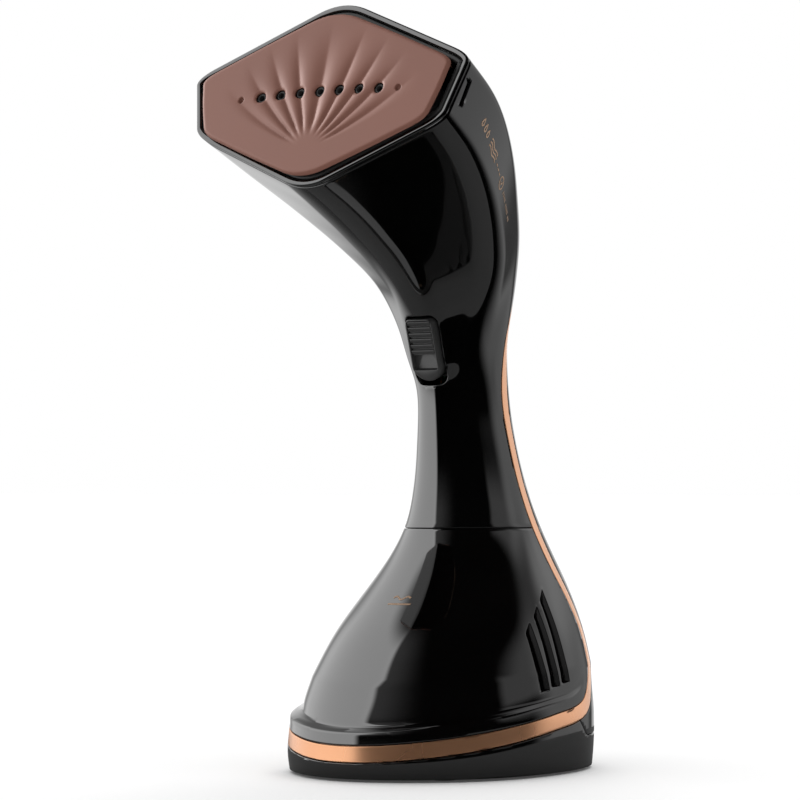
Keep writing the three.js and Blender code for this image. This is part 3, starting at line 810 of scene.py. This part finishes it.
def steamTrigger():
    wide, tall = trigger["cap"]
    topCorner, tipCorner = trigger["capCorners"]
    centre = np.array([0, 1.0])

    def capEdge(x, y, inset):
        corner = np.where(y > 0, topCorner, tipCorner) - inset
        return roundedBox(x, y, wide - 2 * inset, tall - 2 * inset, np.maximum(corner, 0.3))

    def windowEdge(x, y, inset):
        size = [v - 2 * inset for v in trigger["window"]]
        return roundedBox(x, y - trigger["windowShift"], *size, trigger["windowCorner"])

    top, bend = trigger["top"], 0.9
    rings = []
    stages = [(capEdge, 0, trigger["foot"]), (capEdge, 0, top - bend)]
    turns = (0.4, 0.8, 1.2, 1.57)
    stages += [(capEdge, bend * (1 - math.cos(a)) * 0.7, top - bend * (1 - math.sin(a))) for a in turns]
    stages += [(windowEdge, -0.12, top), (windowEdge, -0.03, top - 0.06), (windowEdge, 0, top - 0.25)]
    stages += [(windowEdge, 0, trigger["pocketFloor"] + 0.3), (windowEdge, 0.3, trigger["pocketFloor"])]
    for edge, inset, z in stages:
        flat = rayLoop(lambda x, y: edge(x, y, inset), centre)
        tip = smoothStep(6.5, tall / 2, -flat[:, 1]) * (z > 0) * 1.2
        crown = (flat[:, 0] / wide) ** 2 * (z > 0) * 1.2
        rings.append(np.column_stack([flat, z - tip - crown]))
    rings.append(np.tile([*centre, trigger["pocketFloor"]], (len(rings[0]), 1)))
    piece = wrap(fromTilted(np.array(rings), trigger), "steamTrigger", looks["key_plastic"])
    return dress(piece, "dark_plastic", "trigger", "steam_trigger")


def lockSlider():
    ribs, tall, wide, middle = 6, 13.4, 10.2, 4.8
    low, high, foot = -0.35, 0.8, -1.5
    pitch = tall / ribs
    profile = [(-tall / 2, foot), (-tall / 2, low)]
    for i in range(ribs):
        y = -tall / 2 + i * pitch
        rib = [(0.2, low), (0.26, high - 0.45), (0.8, high), (0.93, high - 0.12), (0.98, low)]
        profile += [(y + part * pitch, z) for part, z in rib]
    profile += [(tall / 2, foot)]
    bm = bmesh.new()
    spots = np.array([[-wide / 2, y + middle, z] for y, z in profile])
    start = bm.faces.new([bm.verts.new(p) for p in toRow(fromTilted(spots, trigger))])
    moved = bmesh.ops.extrude_face_region(bm, geom=[start])["geom"]
    far = [v for v in moved if isinstance(v, bmesh.types.BMVert)]
    bmesh.ops.translate(bm, verts=far, vec=(wide * mm, 0, 0))
    piece = finishMesh("lockSlider", bm, looks["key_plastic"], 0.0001)
    for polygon in piece.data.polygons:
        polygon.use_smooth = False
    soften = piece.modifiers.new("edges", "BEVEL")
    soften.width = 0.14 * mm
    soften.segments = 2
    soften.angle_limit = math.radians(25)
    soften.harden_normals = True
    return dress(piece, "dark_plastic", "slider", "lock_slider")


steamTrigger()
lockSlider()
print("trigger made")


# Printed marks.
marks = {
    "lift": 0.03, "thick": 0.05, "stroke": 0.6,
    "headStart": (-55.8, 239.6), "headTurn": -35.2,  # side-view start and direction of the row of signs
    "levelMark": (2.4, 63.6), "levelWide": 9.6,
}


def strokes(shapes, width):  # each open or closed run of points becomes a ribbon in the plane
    ribbons = []
    for points in shapes:
        points = np.array(points, float)
        along = np.gradient(points, axis=0)
        if np.allclose(points[0], points[-1]):
            along[0] = along[-1] = points[1] - points[-2]
        along /= np.linalg.norm(along, axis=1)[:, None]
        across = np.stack([-along[:, 1], along[:, 0]], -1) * width / 2
        ribbons.append((points - across, points + across))
    return ribbons


def arcRun(x, y, radius, start, end, count=20):
    angle = np.radians(np.linspace(start, end, count))
    return np.stack([x + radius * np.cos(angle), y + radius * np.sin(angle)], -1)


def dropRun(x, y, size):  # a water drop, its point towards +Y
    angle = np.linspace(0, 2 * math.pi, 33)
    pinch = np.sin(angle / 2) ** 1.5
    return np.stack([x + size * 0.75 * np.sin(angle) * pinch, y + size * np.cos(angle)], -1)


def waveRun(x, y, length, swing):
    t = np.linspace(0, 1, 24)
    return np.stack([x + (t - 0.5) * length, y + swing * np.sin(t * 2 * math.pi * 1.5)], -1)


def printOn(name, target, ribbons, place, aim, bodyName):
    # Lays the ribbons on the target: place turns flat points into a start for a ray that runs along aim.
    graph = bpy.context.evaluated_depsgraph_get()
    tree = BVHTree.FromObject(target, graph)
    bm = bmesh.new()
    for sides in ribbons:
        rows = []
        for side in sides:
            row = []
            for start in toRow(place(side)):
                hit, normal, _, _ = tree.ray_cast(Vector(start), Vector(aim))
                row.append(bm.verts.new(hit + normal * marks["lift"] * mm))
            rows.append(row)
        for i in range(len(rows[0]) - 1):
            bm.faces.new([rows[0][i], rows[0][i + 1], rows[1][i + 1], rows[1][i]])
    bmesh.ops.remove_doubles(bm, verts=bm.verts, dist=0.002 * mm)
    bmesh.ops.recalc_face_normals(bm, faces=bm.faces)
    out = Vector(aim) * -1
    for face in bm.faces:
        if face.normal.dot(out) < 0:
            face.normal_flip()
    piece = finishMesh(name, bm, looks["copper_ink"], 0.0005, False)
    wall = piece.modifiers.new("wall", "SOLIDIFY")
    wall.thickness = marks["thick"] * mm
    wall.offset = 1
    return dress(piece, "copper_trim", bodyName)


def headSigns():
    turn = math.radians(marks["headTurn"])
    ahead, up = np.array([math.cos(turn), math.sin(turn)]), np.array([-math.sin(turn), math.cos(turn)])
    shapes = [dropRun(x, 0, 1.5) for x in (1.8, 5, 8.2)]
    shapes += [waveRun(17.5, y, 10, 0.45) for y in (-1.4, 0, 1.4)]
    shapes += [[(x, 0), (x + 1.6, 0)] for x in (24.6, 27.2, 29.8)]
    shapes += [arcRun(35.5, 0, 2.3, 0, 360, 41), [(34.4, 0.1), (35.2, -0.9), (36.6, 1)]]
    shapes += [[(x, -0.7), (x, 0.7)] for x in (41, 42.5, 44, 45.5, 48, 49.5, 51, 52.5, 55, 56.5)]

    def place(flat):
        side = np.array(marks["headStart"]) + flat[:, :1] * ahead + flat[:, 1:] * up
        return np.column_stack([np.full(len(flat), 90.0), side])

    printOn("headSigns", housing, strokes(shapes, marks["stroke"]), place, (-1, 0, 0), "housing")


def levelMark():
    x, z = marks["levelMark"]
    half = marks["levelWide"] / 2
    shapes = [[(x - half, z), (x - half / 3, z), (x + half / 3, z), (x + half, z)]]
    shapes.append(waveRun(x, z + 2.2, half * 1.5, 0.55))

    def place(flat):
        return np.column_stack([flat[:, 0], np.full(len(flat), -90.0), flat[:, 1]])

    printOn("levelMark", tank, strokes(shapes, marks["stroke"]), place, (0, 1, 0), "tank")


headSigns()
levelMark()
print("marks made")

# Fasteners, feet and cord gland.
def lathe(name, look, slotName, profile, centre, upright, node, count=32):
    # profile: (radius, height) pairs, a third value of 1 makes that ring six-sided.
    # upright: the axis is Z, else Y.
    angle = np.arange(count) / count * 2 * math.pi
    sixSided = math.cos(math.pi / 6) / np.cos(angle % (math.pi / 3) - math.pi / 6)
    rings = []
    for radius, height, *hexagon in profile:
        r = radius * (sixSided if hexagon else 1)
        side, other, along = r * np.cos(angle), r * np.sin(angle), np.full(count, height)
        rings.append(np.stack([side, other, along] if upright else [side, along, other], -1) + centre)
    piece = wrap(rings, name, looks[look])
    return dress(piece, slotName, "housing", node)


screwHead = [
    (0, -9), (1.0, -9), (1.35, -8.2), (1.35, -2), (2.75, -2), (2.95, -1.8), (2.95, -0.55), (2.7, -0.2),
    (2.2, -0.02), (1.62, -0.02), (1.5, -0.12, 1), (1.5, -1.35, 1), (0, -1.5),
]
footShape = [
    (0, 0.3), (3.4, 0.3), (3.9, 0.02), (4.9, 0.02), (5.5, 0.3), (5.78, 0.8), (5.78, 1.48), (0, 1.48),
]
glandShape = [(3.62, -6.98), (7.38, -6.98), (7.38, -4.02), (5.6, -3.9)]
for k in range(3):
    fold = [(5.55, -3.3), (5.95, -2.95), (5.95, -2.15), (5.5, -1.9)]
    glandShape += [(radius, height + k * 1.75) for radius, height in fold]
glandShape += [(4.9, 2.3), (4.6, 2.38), (3.9, 2.38), (3.62, 2.2), (3.62, -6.98)]

glandSpot = (0, gland["y"], gland["z"])
lathe("cordGland", "black_rubber", "black_rubber", glandShape, glandSpot, False, "cord_gland", 48)
for i, (y, z) in enumerate(coverScrews["spots"]):
    lathe(f"coverScrew{i + 1}", "steel", "steel", screwHead, (0, y, z), False, f"cover_screw_{i + 1}")
baseScrewHead = [(r * 0.86, 1.92 - h, *six) for r, h, *six in screwHead if h > -7]
baseScrewHead = [(0, 8.9), (1.2, 8.9), *baseScrewHead[1:]]
for i, (x, y) in enumerate([(-14, -46), (14, -46), (-38, 14), (38, 14)]):
    lathe(f"baseScrew{i + 1}", "steel", "steel", baseScrewHead, (x, y, 0), True, f"base_screw_{i + 1}")
for i, (x, y) in enumerate([(-26, -38), (26, -38), (-28, 38), (28, 38)]):
    lathe(f"foot{i + 1}", "black_rubber", "black_rubber", footShape, (x, y, 0), True, f"foot_{i + 1}")
print("fasteners, feet and gland made")


# Tank roof and floor, seen when the tank is off.
deck = {
    "roofZ": 89.2, "thick": 2.0,
    "across": 48, "along": 72,
    "hole": (20, 6.5),
    "floorOff": 4.4, "reach": 0.27,  # the floor's distance from the trim line and its share of that line
}


def insideWidths(line):  # half the free width inside the tank's wall at each point of a side-view line
    graph = bpy.context.evaluated_depsgraph_get()
    tree = BVHTree.FromObject(tank, graph)
    starts = toRow(np.column_stack([np.zeros(len(line)), line]))
    hits = [tree.ray_cast(Vector(p), Vector((1, 0, 0)))[0] for p in starts]
    return np.array([hit.x / mm if hit else 0 for hit in hits])


def tankDeck(name, line, hole=None):
    widths = insideWidths(line)
    kept = widths > 0.5
    line, widths = line[kept], widths[kept] + 0.25
    wide, tall = deck["across"], deck["along"]
    bm = flatGrid(wide, tall)
    stations = np.arange(len(line)) / (len(line) - 1) * tall

    def place(cells):
        half, y, z = (np.interp(cells[:, 1], stations, v) for v in (widths, *line.T))
        return np.column_stack([(cells[:, 0] / wide * 2 - 1) * half, y, z])

    if hole:
        cutFlat(bm, place, lambda p: np.hypot(p[:, 0], p[:, 1] - hole[0]) - hole[1])
    writeVerts(bm, toRow(place(readVerts(bm)[:, :2])))
    piece = finishMesh(name, bm, looks["tank_smoke"])
    giveWall(piece, deck["thick"], 0.2, 2)
    return dress(piece, "tank_smoke", "tank")


def tankDecks():
    start, end = -31, trimLine[np.argmin(np.abs(trimLine[:150, 1] - deck["roofZ"])), 0] - 5.5
    roofY = start + (end - start) * (1 - np.cos(np.linspace(0, math.pi / 2, 90)))
    tankDeck("tankRoof", np.column_stack([roofY, np.full(90, deck["roofZ"])]), deck["hole"])
    along = np.gradient(trimLine, axis=0)
    along /= np.linalg.norm(along, axis=1)[:, None]
    lifted = trimLine + np.stack([-along[:, 1], along[:, 0]], -1) * deck["floorOff"]
    tankDeck("tankFloor", lifted[: int(len(lifted) * deck["reach"])])


tankDecks()


valve = {
    "y": 29.7, "z": 47, "springMiddle": -3.2,
    "length": 9, "radius": 1.9, "wire": 0.3, "turns": 4, "travel": 1.6,
}


def valveSpring():
    steps, sides = valve["turns"] * 24, 8
    reach = valve["length"] - 2 * valve["wire"]
    around = np.arange(sides) / sides * 2 * math.pi
    rings = []
    for i in range(-1, steps + 2):
        part = min(max(i / steps, 0), 1)
        angle = part * valve["turns"] * 2 * math.pi
        wire = valve["wire"] if 0 <= i <= steps else 0
        across = valve["radius"] + wire * np.cos(around)
        along = valve["y"] + valve["springMiddle"] + reach * (part - 0.5) + wire * np.sin(around)
        side, rise = across * math.cos(angle), valve["z"] + across * math.sin(angle)
        rings.append(np.column_stack([side, along, rise]))
    piece = wrap(rings, "valveSpring", looks["steel"])
    dress(piece, "steel", "tank", "valve_spring")
    start = [0, valve["y"] + valve["springMiddle"] - valve["length"] / 2, valve["z"]]
    toRow(np.array([start], float))[0]
    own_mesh(piece)


valveSpring()
print("tank closed")

# Finishes of the fitted works.
cadLook = {entry["node"]: looks[entry["material_slot"]] for entry in frame["record"]["subparts"]}
for node, part in frame["nodes"].items():
    if part.hide_render:
        continue
    for holder in part.material_slots:
        holder.link = "OBJECT"
        holder.material = cadLook[node]
print("fitted works finished")

# Camera, lights, floor.
camera = {
    "azimuth": 34,
    "distance": 1250,
    "height": 108.4,
    "lens": 147.3,
    "aimLeft": 42 / 3274,
    "aimUp": 84 / 3274,
}


def placeCamera():
    turn = math.radians(camera["azimuth"])
    right = Vector((math.cos(turn), math.sin(turn), 0))
    forward = Vector((-math.sin(turn), math.cos(turn), 0))
    spot = -forward * camera["distance"] + Vector((0, body["axisY"], camera["height"]))
    look = forward - right * camera["aimLeft"] + Vector((0, 0, camera["aimUp"]))
    data = bpy.data.cameras.new("camera")
    data.lens = camera["lens"]
    data.clip_start = 0.05
    data.clip_end = 60
    eye = bpy.data.objects.new("camera", data)
    scene.collection.objects.link(eye)
    eye.location = spot * mm
    eye.rotation_euler = look.to_track_quat("-Z", "Y").to_euler()
    scene.camera = eye


def layFloor():
    bm = bmesh.new()
    bmesh.ops.create_grid(bm, x_segments=8, y_segments=8, size=25)
    material = bpy.data.materials.new("studioFloor")
    finish = Finish(material)
    colour = finish.mix(finish.spread(finish.noise(3, 2), 0, 1), grey(0.92), grey(0.94))
    inputs = {"Base Color": colour, "Roughness": 0.9, "Emission Color": grey(1), "Emission Strength": 0.05}
    shader = finish.node("ShaderNodeBsdfPrincipled", None, inputs)
    finish.node("ShaderNodeOutputMaterial", None, {"Surface": shader})
    floor = finishMesh("studioFloor", bm, material)
    floor.visible_glossy = False


room = {
    # Reflected panels: direction of the middle, then spans (start, full, full, end) round and up, in degrees.
    "panels": [
        {"middle": -60, "round": (-68, -54, 40, 49), "up": (-42, -6, 58, 74), "power": 1.28},
        {"middle": -135, "round": (-16, -8, 12, 20), "up": (-40, -10, 40, 60), "power": 0.28},
        {"middle": -60, "round": (30, 48, 48, 98), "up": (0, 24, 60, 80), "power": 0.14},
        {"middle": 156, "round": (-30, -10, 20, 34), "up": (-34, -4, 12, 46), "power": 0.36},
        {"middle": 205, "round": (-20, -8, 18, 34), "up": (-12, -4, 14, 30), "power": 0.8},
        {"middle": 110, "round": (-15, -5, 25, 40), "up": (6, 18, 30, 42), "power": 0.2},
        {"middle": 172, "round": (-22, -10, 14, 24), "up": (10, 24, 50, 66), "power": 0.34},
        {"middle": -115, "round": (-75, -40, 40, 70), "up": (-95, -80, -45, -20), "power": 0.09},
    ],
    "fill": 0.002,  # left in every direction
    "soft": 0.82,  # even light on matt surfaces
    "sun": {"azimuth": 208, "height": 58, "strength": 1.3, "spread": 44},
    "trimSun": {"azimuth": 166, "height": 6, "strength": 0.6, "spread": 70},
    "plateSun": {"azimuth": -84, "height": 24, "strength": 3.0, "spread": 16},
    "card": 235,  # radius of the dark card under the steamer
}


def addSun(name, sun, only=None):
    data = bpy.data.lights.new(name, "SUN")
    data.energy = sun["strength"]
    data.angle = math.radians(sun["spread"])
    lamp = bpy.data.objects.new(name, data)
    scene.collection.objects.link(lamp)
    turn, rise = math.radians(sun["azimuth"]), math.radians(sun["height"])
    towards = Vector((math.sin(turn) * math.cos(rise), -math.cos(turn) * math.cos(rise), math.sin(rise)))
    lamp.rotation_euler = towards.to_track_quat("Z", "Y").to_euler()
    if only:
        lit = bpy.data.collections.new(f"{name}Only")
        lit.objects.link(only)
        lamp.light_linking.receiver_collection = lit
    return lamp


def layCard():  # seen only in reflections, it keeps the low parts dark
    bm = bmesh.new()
    bmesh.ops.create_circle(bm, cap_ends=True, segments=64, radius=room["card"] * mm)
    material = surface("darkCard", (grey(0.1), grey(0.11)), (0.9, 0.95), (40, 2))
    card = finishMesh("darkCard", bm, material)
    card.data.transform(Matrix.Translation((0, body["axisY"] * mm, 0.0003)))
    card.visible_camera = card.visible_diffuse = card.visible_shadow = card.visible_transmission = False


def lightRoom():
    world = bpy.data.worlds.new("studio")
    scene.world = world
    finish = Finish(world)
    view = finish.node("ShaderNodeTexCoord", output="Generated")
    level = finish.node("ShaderNodeSeparateXYZ", None, {"Vector": view}, "Z")
    height = finish.node("ShaderNodeMath", {"operation": "ARCSINE"}, {0: level})
    total = None
    for panel in room["panels"]:
        inputs = {"Vector": view, "Angle": -math.radians(panel["middle"])}
        turned = finish.node("ShaderNodeVectorRotate", {"rotation_type": "Z_AXIS"}, inputs)
        across = finish.node("ShaderNodeSeparateXYZ", None, {"Vector": turned}, "X")
        ahead = finish.node("ShaderNodeSeparateXYZ", None, {"Vector": turned}, "Y") * -1
        bearing = finish.node("ShaderNodeMath", {"operation": "ARCTAN2"}, {0: across, 1: ahead})
        shine = panel["power"]
        for angle, span in ((bearing, panel["round"]), (height, panel["up"])):
            start, low, high, end = (math.radians(v) for v in span)
            smooth = {"interpolation_type": "SMOOTHSTEP"}
            rise = finish.node("ShaderNodeMapRange", smooth, {0: angle, 1: start, 2: low, 3: 0, 4: 1})
            fall = finish.node("ShaderNodeMapRange", smooth, {0: angle, 1: high, 2: end, 3: 1, 4: 0})
            shine = rise * fall * shine
        total = shine if total is None else total + shine
    total = total + room["fill"]
    studio = finish.node("ShaderNodeBackground", None, {"Color": grey(1), "Strength": total})
    matt = finish.node("ShaderNodeBackground", None, {"Color": grey(1), "Strength": room["soft"]})
    seen = finish.node("ShaderNodeBackground", None, {"Color": grey(1), "Strength": 1.0})
    glossy = finish.node("ShaderNodeLightPath", output="Is Glossy Ray")
    direct = finish.node("ShaderNodeLightPath", output="Is Camera Ray")
    mixed = finish.node("ShaderNodeMixShader", None, {0: glossy, 1: matt, 2: studio})
    mixed = finish.node("ShaderNodeMixShader", None, {0: direct, 1: mixed, 2: seen})
    finish.node("ShaderNodeOutputWorld", None, {"Surface": mixed})
    scene.view_settings.view_transform = "Standard"
    addSun("sideLight", room["sun"]).visible_glossy = False
    addSun("trimLight", room["trimSun"], trim)
    addSun("plateLight", room["plateSun"], steamPlate)


placeCamera()
layFloor()
layCard()
lightRoom()
